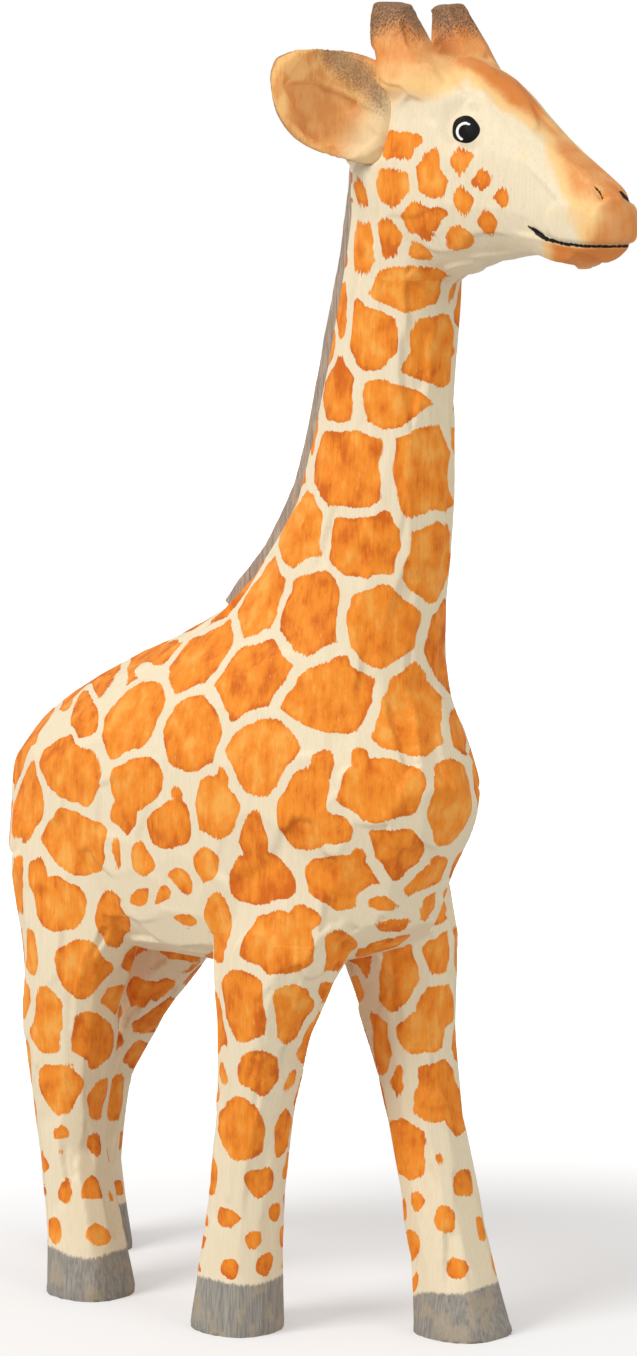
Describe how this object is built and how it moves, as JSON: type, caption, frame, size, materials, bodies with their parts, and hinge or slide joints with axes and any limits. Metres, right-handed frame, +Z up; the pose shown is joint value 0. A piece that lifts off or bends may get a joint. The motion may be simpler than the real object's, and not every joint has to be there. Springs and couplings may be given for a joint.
{
  "type": "carved wooden giraffe figure",
  "caption": "Standing giraffe figure carved from dowelled blocks of light wood, hand-painted with orange patches, with a grey mane, horns and hooves.",
  "frame": {"origin": "middle of the figure's outer box, on the surface that its hooves stand on", "axes": "+Z up, +X the way the giraffe faces, +Y towards its left side"},
  "size_m": [0.1566, 0.0514, 0.25],
  "materials": {
    "painted_coat": "matt translucent orange patches on cream-washed light wood, knife facets left on, grain showing",
    "painted_face": "matt tan and cream wash on light wood, with painted eyes, mouth line and nostrils",
    "painted_ear": "matt tan wash with brushed grey rims on light wood",
    "grey_stained_wood": "matt grey stain, grain showing",
    "dowel_wood": "bare turned wood"
  },
  "bodies": {
    "root": {"torso": "painted_coat", "neck": "painted_coat", "head": "painted_face", "mane": "grey_stained_wood", "tail": "grey_stained_wood", "foreleg_right": "painted_coat", "foreleg_left": "painted_coat", "hindleg_right": "painted_coat", "hindleg_left": "painted_coat", "ear_right": "painted_ear", "ear_left": "painted_ear", "neck_dowels": "dowel_wood", "head_dowels": "dowel_wood", "foreleg_dowel_right": "dowel_wood", "foreleg_dowel_left": "dowel_wood", "hindleg_dowel_right": "dowel_wood", "hindleg_dowel_left": "dowel_wood", "ear_peg_right": "dowel_wood", "ear_peg_left": "dowel_wood", "tail_peg": "dowel_wood"}
  },
  "joints": []
}
